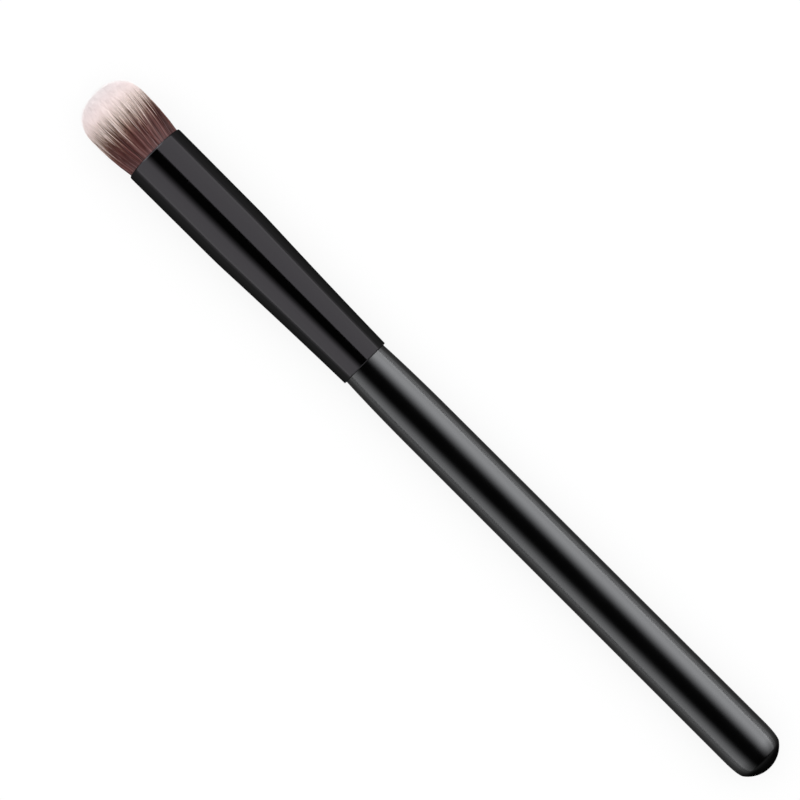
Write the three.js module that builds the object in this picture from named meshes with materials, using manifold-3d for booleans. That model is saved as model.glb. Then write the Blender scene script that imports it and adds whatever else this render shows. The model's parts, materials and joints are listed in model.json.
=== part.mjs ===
// Concealer brush: a turned wooden handle, a drawn aluminium ferrule and a domed tuft of synthetic fibres.
// Millimetres, +Z up. The brush lies on its side, +X runs from the butt to the tip of the tuft,
// and the origin is under the middle of it, on the surface that it lies on.
// Each round piece is turned about the brush's axis. A station is a distance along that axis from the butt.
import * as THREE from "three";
import { mergeVertices } from "three/addons/utils/BufferGeometryUtils.js";
import Module from "manifold-3d";

// Handle, from the butt to the rear edge of the ferrule
const HANDLE_LENGTH = 95.75;
const HANDLE_BUTT_RADIUS = 4.775;
const HANDLE_FRONT_RADIUS = 4.685; // where the slow taper ends and the neck begins
const NECK_LENGTH = 15.6;
const NECK_BEND = 8.9; // how far the taper's line runs on before the neck turns in
const BUTT_FLAT_RADIUS = 1.0; // the face left where the handle was parted off
const BUTT_DOME_RADIUS = 5.3; // the end is a shallow cap of a sphere
const BUTT_CAP_RADIUS = 4.33; // where the cap ends and the rounded edge begins
const BUTT_EDGE_LENGTH = 3.8;
const BUTT_EDGE_BEND = 1.0;

// Ferrule, a tube with a hollow taper behind a nearly straight barrel
const TAPER_LENGTH = 29.3;
const BARREL_LENGTH = 20.4;
const FERRULE_REAR_RADIUS = 4.75;
const BARREL_REAR_RADIUS = 5.68;
const BARREL_MOUTH_RADIUS = 5.755;
const TAPER_HOLLOW = 0.35; // share of the taper's rise that comes as a curve
const FERRULE_WALL = 0.3;
const LIP_LENGTH = 0.4; // the edge of the mouth is rounded over this length
const LIP_DRAW = 0.15; // and drawn in by this much
const REAR_EDGE_BREAK = 0.15;

// Tuft, outside the ferrule
const TUFT_LENGTH = 14.3;
const TUFT_RADIUS = 6.08; // at its widest, where the dome begins
const DOME_HEIGHT = 5.6;
const DOME_FULLNESS = 2.35; // 2 is an ellipse, more is squarer
const SPLAY_LENGTH = 2.6; // fibres spread quickly over this length outside the mouth
const SPLAY_RADIUS = 5.78;

// Fibres, each a three-sided strand that tapers to a point
const STRAND_COUNT = 300;
const RIM_STRANDS = 26; // how many of them stand on the tuft's outer circle
const STRAND_SIDES = 3;
const STRAND_FILL = 0.4; // a strand's radius as a share of the spacing between strands
const STRAND_TAPER_START = 0.7; // share of the way from the splay to the tip where the taper begins
const STRAND_SINK = 0.8; // how deep a strand starts inside the fused root

// Root of the tuft and what holds it
const ROOT_DEPTH = 17.0; // from the mouth to the rear of the root
const THREAD_DIAMETER = 0.5;
const THREAD_SIDES = 6;
const BINDING_TURNS = 3;
const BINDING_SPACING = 0.6; // clear space between turns of the thread
const BINDING_MARGIN = 0.6; // root left bare at each end of the winding
const ROOT_RIM = 0.15; // glue round the outermost strands of the root
const BINDING_STEPS_PER_TURN = 24;
const POTTING_WALL = 0.4; // round the root
const POTTING_BASE = 5.0; // behind the root
const POTTING_MENISCUS = 0.6; // hollow of the plug's free face

// Tenon of the handle and the adhesive round it
const SHOULDER_DEPTH = 2.0; // how far the full neck reaches into the ferrule
const TENON_TIP_ROOM = 6.0; // air between the tenon and the potting
const TENON_CHAMFER = 0.8;
const ADHESIVE_WALL = 0.4; // at its thinnest, next to the shoulder
const GROOVE_COUNT = 3;
const GROOVE_DEPTH = 0.35;
const GROOVE_WIDTH = 1.6;

// Clearances
const NECK_CLEARANCE = 0.1;
const FIBRE_CLEARANCE = 0.1;
const GLUE_CLEARANCE = 0.15;

// Facets of the turned pieces, with one facing straight down
const TURNED_FACETS = 32;
const HIDDEN_FACETS = 24;
const ROOT_FACETS = 16;
const CURVE_STEPS = 5;

// Places worked out from the sizes above
const BUTT_FLAT_HEIGHT = Math.sqrt(BUTT_DOME_RADIUS ** 2 - BUTT_FLAT_RADIUS ** 2); // from the dome's centre
const BUTT_CAP_HEIGHT = Math.sqrt(BUTT_DOME_RADIUS ** 2 - BUTT_CAP_RADIUS ** 2);
const BUTT_CAP_STATION = BUTT_FLAT_HEIGHT - BUTT_CAP_HEIGHT;
const BUTT_EDGE_STATION = BUTT_CAP_STATION + BUTT_EDGE_LENGTH;
const FERRULE_LENGTH = TAPER_LENGTH + BARREL_LENGTH;
const BARREL_STATION = HANDLE_LENGTH + TAPER_LENGTH;
const MOUTH_STATION = HANDLE_LENGTH + FERRULE_LENGTH;
const SPLAY_STATION = MOUTH_STATION + SPLAY_LENGTH;
const BELLY_STATION = MOUTH_STATION + TUFT_LENGTH - DOME_HEIGHT;
const WIDEST_STATION = THREE.MathUtils.lerp(SPLAY_STATION, BELLY_STATION, STRAND_TAPER_START);
const ROOT_STATION = MOUTH_STATION - ROOT_DEPTH;
const BINDING_PITCH = THREAD_DIAMETER + BINDING_SPACING;
const BINDING_LENGTH = BINDING_TURNS * BINDING_PITCH;
const ROOT_LENGTH = BINDING_LENGTH + THREAD_DIAMETER + 2 * BINDING_MARGIN;
const ROOT_FRONT_STATION = ROOT_STATION + ROOT_LENGTH;
const POTTING_STATION = ROOT_STATION - GLUE_CLEARANCE - POTTING_BASE;
const SHOULDER_STATION = HANDLE_LENGTH + SHOULDER_DEPTH;
const TENON_TIP_STATION = POTTING_STATION - TENON_TIP_ROOM;

// Radii worked out from the bore inwards
const NECK_RADIUS = boreRadius(HANDLE_LENGTH) - NECK_CLEARANCE;
const TENON_RADIUS = boreRadius(SHOULDER_STATION) - 2 * GLUE_CLEARANCE - ADHESIVE_WALL;
const POTTING_BORE_RADIUS = boreRadius(ROOT_STATION) - GLUE_CLEARANCE - POTTING_WALL;
const BINDING_RADIUS = POTTING_BORE_RADIUS - GLUE_CLEARANCE - THREAD_DIAMETER / 2;
const ROOT_RADIUS = BINDING_RADIUS - THREAD_DIAMETER / 2 - GLUE_CLEARANCE;
const TUFT_MOUTH_RADIUS = boreRadius(MOUTH_STATION) - FIBRE_CLEARANCE;

const wasm = await Module();
wasm.setup();

const lacquer = material("#0b0b0c", 0.35, 0);
const anodised = material("#111112", 0.12, 0.3);
const fibre = material("#b79f98", 0.7, 0);
const thread = material("#d9d4c8", 0.8, 0);
const epoxy = material("#c9b27a", 0.3, 0);
const adhesive = material("#e6e1cf", 0.5, 0);

/** A plain material of one colour. */
function material(color, roughness, metalness) {
  return new THREE.MeshStandardMaterial({ color, roughness, metalness });
}

/** Outer radius of the ferrule at a station, before its lip is rounded. */
function ferruleRadius(station) {
  if (station > BARREL_STATION) {
    const along = (station - BARREL_STATION) / BARREL_LENGTH;
    return THREE.MathUtils.lerp(BARREL_REAR_RADIUS, BARREL_MOUTH_RADIUS, along);
  }
  const along = (station - HANDLE_LENGTH) / TAPER_LENGTH;
  const rise = (1 - TAPER_HOLLOW) * along + TAPER_HOLLOW * along * along;
  return THREE.MathUtils.lerp(FERRULE_REAR_RADIUS, BARREL_REAR_RADIUS, rise);
}

/** Radius of the ferrule's bore at a station. */
function boreRadius(station) {
  return ferruleRadius(station) - FERRULE_WALL;
}

/** A point of a turned profile. */
function at(station, radius) {
  return new THREE.Vector2(radius, station);
}

/** Points along a radius given as a function of the station. */
function along(from, to, steps, radiusAt) {
  return Array.from({ length: steps + 1 }, (_, i) => {
    const station = THREE.MathUtils.lerp(from, to, i / steps);
    return at(station, radiusAt(station));
  });
}

/** Points of a bend that leaves start towards corner and arrives at end from it. */
function bend(start, corner, end) {
  return new THREE.QuadraticBezierCurve(start, corner, end).getPoints(CURVE_STEPS);
}

/** A profile turned about the brush's axis. */
function turned(profile, facets) {
  const step = (2 * Math.PI) / facets;
  return new THREE.LatheGeometry(profile, facets, step / 2);
}

/** A mesh under its piece's name. */
function named(name, geometry, finish) {
  const mesh = new THREE.Mesh(geometry, finish);
  mesh.name = name;
  return mesh;
}

/** A closed geometry as a solid that can be joined to another. */
function solid(geometry) {
  const bare = new THREE.BufferGeometry();
  bare.setAttribute("position", geometry.getAttribute("position"));
  bare.setIndex(geometry.getIndex());
  const merged = mergeVertices(bare, 1e-4);
  const triVerts = new Uint32Array(merged.getIndex().array);
  const vertProperties = new Float32Array(merged.getAttribute("position").array);
  return new wasm.Manifold(new wasm.Mesh({ numProp: 3, vertProperties, triVerts }));
}

/** The geometry of a joined solid. */
function geometryOf(joined) {
  const { vertProperties, triVerts } = joined.getMesh();
  const geometry = new THREE.BufferGeometry();
  geometry.setAttribute("position", new THREE.BufferAttribute(vertProperties, 3));
  geometry.setIndex(new THREE.BufferAttribute(triVerts, 1));
  return geometry;
}

/** Outline of the tenon from its shoulder to its chamfered tip, grown by a clearance. */
function tenonOutline(clearance) {
  const radius = TENON_RADIUS + clearance;
  const pitch = (TENON_TIP_STATION - SHOULDER_STATION) / (GROOVE_COUNT + 1);
  const grooves = Array.from({ length: GROOVE_COUNT }, (_, i) => {
    const middle = SHOULDER_STATION + pitch * (i + 1);
    return [
      at(middle - GROOVE_WIDTH / 2, radius),
      at(middle - GROOVE_WIDTH / 4, radius - GROOVE_DEPTH),
      at(middle + GROOVE_WIDTH / 4, radius - GROOVE_DEPTH),
      at(middle + GROOVE_WIDTH / 2, radius),
    ];
  });
  return [at(SHOULDER_STATION, radius), ...grooves.flat(), at(TENON_TIP_STATION - TENON_CHAMFER, radius)];
}

/** Turned handle: domed butt, slow taper, drawn-in neck and the grooved tenon that the ferrule hides. */
function handle() {
  const flatAngle = Math.asin(BUTT_FLAT_RADIUS / BUTT_DOME_RADIUS);
  const capAngle = Math.asin(BUTT_CAP_RADIUS / BUTT_DOME_RADIUS);
  const cap = Array.from({ length: CURVE_STEPS }, (_, i) => {
    const angle = THREE.MathUtils.lerp(flatAngle, capAngle, i / CURVE_STEPS);
    return at(BUTT_FLAT_HEIGHT - BUTT_DOME_RADIUS * Math.cos(angle), BUTT_DOME_RADIUS * Math.sin(angle));
  });
  const edge = bend(
    at(BUTT_CAP_STATION, BUTT_CAP_RADIUS),
    at(BUTT_CAP_STATION + BUTT_EDGE_BEND, HANDLE_BUTT_RADIUS),
    at(BUTT_EDGE_STATION, HANDLE_BUTT_RADIUS),
  );
  const neckStation = HANDLE_LENGTH - NECK_LENGTH;
  const neck = bend(
    at(neckStation, HANDLE_FRONT_RADIUS),
    at(neckStation + NECK_BEND, HANDLE_FRONT_RADIUS),
    at(HANDLE_LENGTH, NECK_RADIUS),
  );
  const tip = [
    at(TENON_TIP_STATION, TENON_RADIUS - TENON_CHAMFER),
    at(TENON_TIP_STATION, 0),
  ];
  const shoulder = at(SHOULDER_STATION, NECK_RADIUS);
  const profile = [at(0, 0), ...cap, ...edge, ...neck, shoulder, ...tenonOutline(0), ...tip];
  return named("handle", turned(profile, TURNED_FACETS), lacquer);
}

/** Drawn tube with a broken rear edge, a hollow taper, a barrel and a rounded lip. */
function ferrule() {
  const lipStation = MOUTH_STATION - LIP_LENGTH;
  const lipRadius = ferruleRadius(lipStation);
  const rearEdge = at(HANDLE_LENGTH, FERRULE_REAR_RADIUS - REAR_EDGE_BREAK);
  const taper = along(HANDLE_LENGTH + REAR_EDGE_BREAK, BARREL_STATION, 2 * CURVE_STEPS, ferruleRadius);
  const lip = bend(
    at(lipStation, lipRadius),
    at(MOUTH_STATION, lipRadius),
    at(MOUTH_STATION, lipRadius - LIP_DRAW),
  );
  const bore = [
    at(MOUTH_STATION, boreRadius(MOUTH_STATION)),
    ...along(BARREL_STATION, HANDLE_LENGTH, 2 * CURVE_STEPS, boreRadius),
  ];
  const profile = [rearEdge, ...taper, ...lip, ...bore, rearEdge];
  return named("ferrule", turned(profile, TURNED_FACETS), anodised);
}

/** Adhesive that fills the room between the grooved tenon and the ferrule's taper. */
function tenonAdhesive() {
  const rear = SHOULDER_STATION + GLUE_CLEARANCE;
  const front = TENON_TIP_STATION - TENON_CHAMFER;
  const outside = along(rear, front, CURVE_STEPS, (station) => boreRadius(station) - GLUE_CLEARANCE);
  const inside = tenonOutline(GLUE_CLEARANCE).reverse();
  inside[inside.length - 1].y = rear;
  const profile = [...outside, ...inside, outside[0]];
  return named("tenon_adhesive", turned(profile, HIDDEN_FACETS), adhesive);
}

/** Epoxy cup that holds the root of the tuft, with a hollow free face towards the handle. */
function rootPotting() {
  const floor = ROOT_STATION - GLUE_CLEARANCE;
  const outerRadius = (station) => boreRadius(station) - GLUE_CLEARANCE;
  const outside = [
    ...along(POTTING_STATION, floor, CURVE_STEPS, outerRadius),
    at(ROOT_FRONT_STATION, outerRadius(ROOT_FRONT_STATION)),
  ];
  const face = bend(
    at(POTTING_STATION + POTTING_MENISCUS, 0),
    at(POTTING_STATION + POTTING_MENISCUS, POTTING_BORE_RADIUS),
    outside[0],
  );
  const cup = [
    at(ROOT_FRONT_STATION, POTTING_BORE_RADIUS),
    at(floor, POTTING_BORE_RADIUS),
    at(floor, 0),
  ];
  const profile = [...face, ...outside.slice(1), ...cup];
  return named("root_potting", turned(profile, HIDDEN_FACETS), epoxy);
}

/** The binding thread's centre line: a helix round the root of the tuft. */
class BindingPath extends THREE.Curve {
  /** Point of the helix at a share of its length. */
  getPoint(share, target = new THREE.Vector3()) {
    const angle = share * BINDING_TURNS * 2 * Math.PI;
    const station = ROOT_STATION + BINDING_MARGIN + THREAD_DIAMETER / 2 + share * BINDING_LENGTH;
    return target.set(BINDING_RADIUS * Math.sin(angle), station, BINDING_RADIUS * Math.cos(angle));
  }
}

/** Least clear distance between turns of the thread, measured on points of its centre line. */
function leastBindingGap(path) {
  const points = path.getSpacedPoints(BINDING_TURNS * BINDING_STEPS_PER_TURN);
  const halfTurn = BINDING_STEPS_PER_TURN / 2;
  let least = Infinity;
  points.forEach((point, i) => {
    points.slice(i + halfTurn).forEach((other) => {
      least = Math.min(least, point.distanceTo(other) - THREAD_DIAMETER);
    });
  });
  return least;
}

/** Thread wound round the root of the tuft as one unbroken tube. */
function tuftBinding() {
  const path = new BindingPath();
  const corners = Array.from({ length: THREAD_SIDES }, (_, i) => {
    const angle = (i / THREAD_SIDES) * 2 * Math.PI;
    return new THREE.Vector2(Math.cos(angle), Math.sin(angle)).multiplyScalar(THREAD_DIAMETER / 2);
  });
  const geometry = new THREE.ExtrudeGeometry(new THREE.Shape(corners), {
    steps: BINDING_TURNS * BINDING_STEPS_PER_TURN,
    extrudePath: path,
  });
  console.log("tuft_binding: least gap to itself " + leastBindingGap(path).toFixed(2) + " mm");
  return named("tuft_binding", geometry, thread);
}

/** Station of the dome's surface at a share of the tuft's radius. */
function domeStation(share) {
  const height = (1 - share ** DOME_FULLNESS) ** (1 / DOME_FULLNESS);
  return BELLY_STATION + DOME_HEIGHT * height;
}

/** Rings of one strand from its root to where it begins to taper: stations and the tuft's radius there. */
function strandRings(tipStation) {
  return [
    { station: ROOT_FRONT_STATION - STRAND_SINK, radius: ROOT_RADIUS - ROOT_RIM },
    { station: MOUTH_STATION, radius: TUFT_MOUTH_RADIUS },
    { station: SPLAY_STATION, radius: SPLAY_RADIUS },
    {
      station: THREE.MathUtils.lerp(SPLAY_STATION, tipStation, STRAND_TAPER_START),
      radius: TUFT_RADIUS,
    },
  ];
}

/** A strand's distance from the axis as a share of the tuft's radius, spread evenly over the bundle. */
function strandShare(index) {
  const onRim = index >= STRAND_COUNT - RIM_STRANDS;
  return onRim ? 1 : Math.sqrt((index + 0.5) / (STRAND_COUNT - RIM_STRANDS / 2));
}

/** Adds one strand to the lists. Each keeps its place in the bundle all the way, so none cross. */
function addStrand(index, positions, faces) {
  const share = strandShare(index);
  const goldenAngle = Math.PI * (3 - Math.sqrt(5));
  const heading = index * goldenAngle;
  const thickness = STRAND_FILL * Math.sqrt(Math.PI / STRAND_COUNT); // share of the tuft's radius
  const tipStation = domeStation(share);
  const first = positions.length / 3;
  const rings = strandRings(tipStation);
  rings.forEach(({ station, radius }) => {
    const reach = share * radius * (1 - thickness);
    for (let side = 0; side < STRAND_SIDES; side++) {
      const turn = heading + (side / STRAND_SIDES) * 2 * Math.PI;
      const x = reach * Math.sin(heading) + radius * thickness * Math.sin(turn);
      const z = reach * Math.cos(heading) + radius * thickness * Math.cos(turn);
      positions.push(x, station, z);
    }
  });
  const apex = positions.length / 3;
  const tipReach = share * TUFT_RADIUS * (1 - thickness);
  positions.push(tipReach * Math.sin(heading), tipStation, tipReach * Math.cos(heading));
  for (let side = 0; side < STRAND_SIDES; side++) {
    const next = (side + 1) % STRAND_SIDES;
    for (let ring = 0; ring + 1 < rings.length; ring++) {
      const low = first + ring * STRAND_SIDES;
      const high = low + STRAND_SIDES;
      faces.push(low + side, low + next, high + next, low + side, high + next, high + side);
    }
    const last = first + (rings.length - 1) * STRAND_SIDES;
    faces.push(last + side, last + next, apex);
  }
  faces.push(first, first + 2, first + 1);
}

/** Domed tuft: all strands, fused to the glued slice at their root. */
function bristleTuft() {
  const positions = [];
  const faces = [];
  for (let index = 0; index < STRAND_COUNT; index++) {
    addStrand(index, positions, faces);
  }
  const strands = new THREE.BufferGeometry();
  strands.setAttribute("position", new THREE.Float32BufferAttribute(positions, 3));
  strands.setIndex(faces);
  const rootProfile = [
    at(ROOT_STATION, 0),
    at(ROOT_STATION, ROOT_RADIUS),
    at(ROOT_FRONT_STATION, ROOT_RADIUS),
    at(ROOT_FRONT_STATION, 0),
  ];
  const joined = solid(turned(rootProfile, ROOT_FACETS)).add(solid(strands));
  return named("bristle_tuft", geometryOf(joined), fibre);
}

/** Lays the brush down: its axis along +X, with the butt and the widest part of the tuft on the surface. */
function layDown(brush) {
  const buttReach = HANDLE_BUTT_RADIUS * Math.cos(Math.PI / TURNED_FACETS);
  const tilt = Math.asin((TUFT_RADIUS - buttReach) / (WIDEST_STATION - BUTT_EDGE_STATION));
  brush.rotation.set(0, -tilt, -Math.PI / 2);
  const box = new THREE.Box3().setFromObject(brush, true);
  brush.position.set(-(box.min.x + box.max.x) / 2, 0, -box.min.z);
}

const brush = new THREE.Group();
brush.add(handle(), ferrule(), tenonAdhesive(), rootPotting(), tuftBinding(), bristleTuft());
layDown(brush);

const part = new THREE.Group();
part.add(brush);

export default part;
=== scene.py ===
"""Concealer brush, dressed for its photograph.

The brush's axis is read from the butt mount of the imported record. A station is a distance along that axis
from the butt, as in the solids. Sizes of the pieces are in millimetres and become metres where a mesh is
made. The studio is in metres.
"""

import json
import logging
import math
from dataclasses import dataclass
from enum import Enum
from functools import partial
from types import SimpleNamespace

import bmesh
import bpy
from bpy.types import ID, Collection, Material, Node, NodeSocket, NodeTree, Object
from mathutils import Matrix, Vector


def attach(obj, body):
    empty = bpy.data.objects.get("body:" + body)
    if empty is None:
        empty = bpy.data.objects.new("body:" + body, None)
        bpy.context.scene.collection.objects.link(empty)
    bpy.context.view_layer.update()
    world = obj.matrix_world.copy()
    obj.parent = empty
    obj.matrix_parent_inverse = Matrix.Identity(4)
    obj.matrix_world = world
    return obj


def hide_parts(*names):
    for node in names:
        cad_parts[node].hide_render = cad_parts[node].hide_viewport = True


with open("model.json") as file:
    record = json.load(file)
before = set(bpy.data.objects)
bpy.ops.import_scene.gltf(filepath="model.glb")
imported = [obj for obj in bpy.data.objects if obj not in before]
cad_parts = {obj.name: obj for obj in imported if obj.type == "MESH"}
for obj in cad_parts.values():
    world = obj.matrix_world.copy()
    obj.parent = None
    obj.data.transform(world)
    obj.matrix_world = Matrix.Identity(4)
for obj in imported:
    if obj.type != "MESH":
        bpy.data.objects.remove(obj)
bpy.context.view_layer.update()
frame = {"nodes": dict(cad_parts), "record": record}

MM = 0.001
GOLDEN_ANGLE = math.pi * (3 - math.sqrt(5))
HALF_STEP = 0.5
SHARP_EDGE = math.radians(35)
FACETS = 144
BODY = "root"
FLOAT_CURVE = "ShaderNodeFloatCurve"
MAP_RANGE = "ShaderNodeMapRange"
MATH = "ShaderNodeMath"
NOISE = "ShaderNodeTexNoise"
STORE = "GeometryNodeStoreNamedAttribute"
VECTOR_MATH = "ShaderNodeVectorMath"

log = logging.getLogger("concealer_brush")

Point = tuple[float, float]
Curve = tuple[Point, ...]
Stop = tuple[float, str]
Colour = tuple[float, float, float, float]


def linear(hex_colour: str) -> Colour:
    """Turns an sRGB colour into the linear values that Blender works in.

    Args:
        hex_colour: Colour as #rrggbb.

    Returns:
        Red, green, blue and an alpha of 1.
    """
    shares = [int(hex_colour[place:place + 2], 16) / 255 for place in (1, 3, 5)]
    red, green, blue = [s / 12.92 if s <= 0.04045 else ((s + 0.055) / 1.055) ** 2.4 for s in shares]
    return red, green, blue, 1.0


def set_inputs(node: Node, inputs: dict) -> None:
    """Fills or links inputs of a node.

    Args:
        node: The node.
        inputs: A value, a socket or a node for each input, by the input's name or number. A node stands for
            its first output in use.
    """
    for key, value in inputs.items():
        if isinstance(key, int):
            socket = node.inputs[key]
        else:
            socket = next(s for s in node.inputs if s.enabled and s.name == key)
        if isinstance(value, Node):
            value = next(s for s in value.outputs if s.enabled)
        if isinstance(value, NodeSocket):
            node.id_data.links.new(value, socket)
        else:
            socket.default_value = value


def add_node(tree: NodeTree, kind: str, inputs: dict | None = None, **settings: object) -> Node:
    """Adds a node with its settings, and fills or links its inputs.

    Args:
        tree: Tree that gets the node.
        kind: Blender's name for the kind of node.
        inputs: What set_inputs puts into the node's inputs.
        settings: Properties of the node.

    Returns:
        The new node.
    """
    node = tree.nodes.new(kind)
    for name, value in settings.items():
        setattr(node, name, value)
    set_inputs(node, inputs or {})
    return node


def shape_curve(node: Node, points: Curve) -> None:
    """Gives a Float Curve node its points.

    Args:
        node: The Float Curve node.
        points: Points from left to right, the first at 0 and the last at 1.
    """
    curve = node.mapping.curves[0]
    curve.points[0].location = points[0]
    curve.points[1].location = points[-1]
    for place, height in points[1:-1]:
        curve.points.new(place, height)
    for point in curve.points:
        point.handle_type = "AUTO_CLAMPED"
    node.mapping.update()


def shape_ramp(node: Node, stops: tuple[Stop, ...]) -> None:
    """Gives a Color Ramp node its stops.

    Args:
        node: The Color Ramp node.
        stops: Place from 0 to 1 and sRGB colour of each stop, from left to right.
    """
    elements = node.color_ramp.elements
    elements[0].position, elements[1].position = stops[0][0], stops[-1][0]
    elements[0].color, elements[1].color = linear(stops[0][1]), linear(stops[-1][1])
    for place, colour in stops[1:-1]:
        elements.new(place).color = linear(colour)


def new_material(name: str) -> tuple[Material, NodeTree, Node]:
    """Starts a material that has only a Principled shader.

    Args:
        name: Name of the material.

    Returns:
        The material, its node tree and its Principled node.
    """
    material = bpy.data.materials.new(name)
    material.use_nodes = True
    tree = material.node_tree
    return material, tree, tree.nodes["Principled BSDF"]


def add_object(name: str, data: ID) -> Object:
    """Makes an object at the origin and links it to the scene.

    Args:
        name: Name of the object.
        data: Its mesh, lamp or camera.

    Returns:
        The object.
    """
    item = bpy.data.objects.new(name, data)
    bpy.context.scene.collection.objects.link(item)
    return item


def turned_gloss(tree: NodeTree, gloss: Curve) -> Node:
    """Adds nodes for a gloss that changes where the surface turns away, so that black edges stay black.

    Args:
        tree: Tree of the material.
        gloss: Specular level by how far the surface has turned from the eye, from 0 to 1.

    Returns:
        The node with the specular level.
    """
    turned = add_node(tree, "ShaderNodeLayerWeight").outputs["Facing"]
    level = add_node(tree, FLOAT_CURVE, {"Value": turned})
    shape_curve(level, gloss)
    return level


@dataclass(frozen=True)
class SatinLacquer:
    """Black nitrocellulose lacquer, sprayed on turned birch and rubbed to a satin.

    The satin spreads each lamp into a soft band. The spray leaves a faint orange peel, and the grain of the
    birch still stands a little proud under the film. The end grain at the butt drinks the lacquer and stays
    dull. The grain is drawn wider than birch has it, so that it shows.
    """

    colour: str = "#010101"
    tint: str = "#f9fbff"
    gloss: Curve = (
        (0.0, 0.26), (0.17, 0.255), (0.225, 0.24), (0.29, 0.29), (0.37, 0.46), (0.47, 0.155), (0.6, 0.022),
        (0.74, 0.004), (1.0, 0.0),
    )
    end_grain: Point = (1.4, 4.6)
    end_grain_gloss: float = 0.02
    roughness: float = 0.2
    roughness_swing: float = 0.04
    rub_size: float = 7.0
    rub_detail: float = 3.0
    peel_size: float = 1.1
    peel_detail: float = 1.0
    peel_height: float = 0.0006
    grain_width: float = 0.5
    grain_length: float = 14.0
    grain_height: float = 0.0006

    def material(self, butt: Vector) -> Material:
        """Builds the lacquer's nodes.

        Args:
            butt: Where the butt's end grain lies.

        Returns:
            The material.
        """
        material, tree, shader = new_material("satin_black_lacquer_on_birch")
        add = partial(add_node, tree)
        place = add("ShaderNodeTexCoord").outputs["Object"]
        rubbed, peel = (
            add(NOISE, {"Vector": place, "Scale": 1 / (size * MM), "Detail": detail})
            for size, detail in ((self.rub_size, self.rub_detail), (self.peel_size, self.peel_detail))
        )
        roughness = add(MAP_RANGE, {
            "Value": rubbed,
            "To Min": self.roughness - self.roughness_swing,
            "To Max": self.roughness + self.roughness_swing,
        })
        stretch = (self.grain_width / self.grain_length, 1.0, 1.0)
        along = add("ShaderNodeMapping", {"Vector": place, "Scale": stretch})
        grain = add(NOISE, {"Vector": along, "Scale": 1 / (self.grain_width * MM)})
        bump = add("ShaderNodeBump", {"Height": peel, "Distance": self.peel_height * MM})
        bump = add("ShaderNodeBump", {"Height": grain, "Distance": self.grain_height * MM, "Normal": bump})
        sealed = add(MAP_RANGE, {
            "Value": add("ShaderNodeSeparateXYZ", {"Vector": place}).outputs["X"],
            "From Min": butt.x + self.end_grain[0] * MM,
            "From Max": butt.x + self.end_grain[1] * MM,
            "To Min": self.end_grain_gloss,
        }, interpolation_type="SMOOTHSTEP")
        gloss = turned_gloss(tree, self.gloss)
        set_inputs(shader, {
            "Base Color": linear(self.colour),
            "Roughness": roughness,
            "Normal": bump,
            "Specular Tint": linear(self.tint),
            "Specular IOR Level": add(MATH, {0: gloss, 1: sealed}, operation="MULTIPLY"),
        })
        return material


@dataclass(frozen=True)
class BlackAnodisedAluminium:
    """Aluminium tube, drawn, polished on a wheel and anodised gloss black.

    The clear oxide film reflects like glass and the dye under it swallows the rest, so each lamp shows as a
    dark grey band with a crisp edge and a faint violet cast. Fine wheel marks run round the tube. They are
    drawn wider than real ones, so that they show.
    """

    colour: str = "#010101"
    tint: str = "#fbf5ff"
    gloss: Curve = (
        (0.0, 0.27), (0.28, 0.27), (0.32, 0.2), (0.37, 0.08), (0.43, 0.05), (0.52, 0.018), (0.65, 0.0033),
        (0.78, 0.0004), (1.0, 0.0),
    )
    roughness: float = 0.1
    roughness_swing: float = 0.04
    mark_width: float = 0.25
    mark_length: float = 5.0

    def material(self) -> Material:
        """Builds the metal's nodes.

        Returns:
            The material.
        """
        material, tree, shader = new_material("gloss_black_anodised_aluminium")
        add = partial(add_node, tree)
        place = add("ShaderNodeTexCoord").outputs["Object"]
        stretch = self.mark_width / self.mark_length
        around = add("ShaderNodeMapping", {"Vector": place, "Scale": (1.0, stretch, stretch)})
        marks = add(NOISE, {"Vector": around, "Scale": 1 / (self.mark_width * MM)})
        roughness = add(MAP_RANGE, {
            "Value": marks,
            "To Min": self.roughness - self.roughness_swing,
            "To Max": self.roughness + self.roughness_swing,
        })
        set_inputs(shader, {
            "Base Color": linear(self.colour),
            "Roughness": roughness,
            "Specular Tint": linear(self.tint),
            "Specular IOR Level": turned_gloss(tree, self.gloss),
        })
        return material


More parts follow.
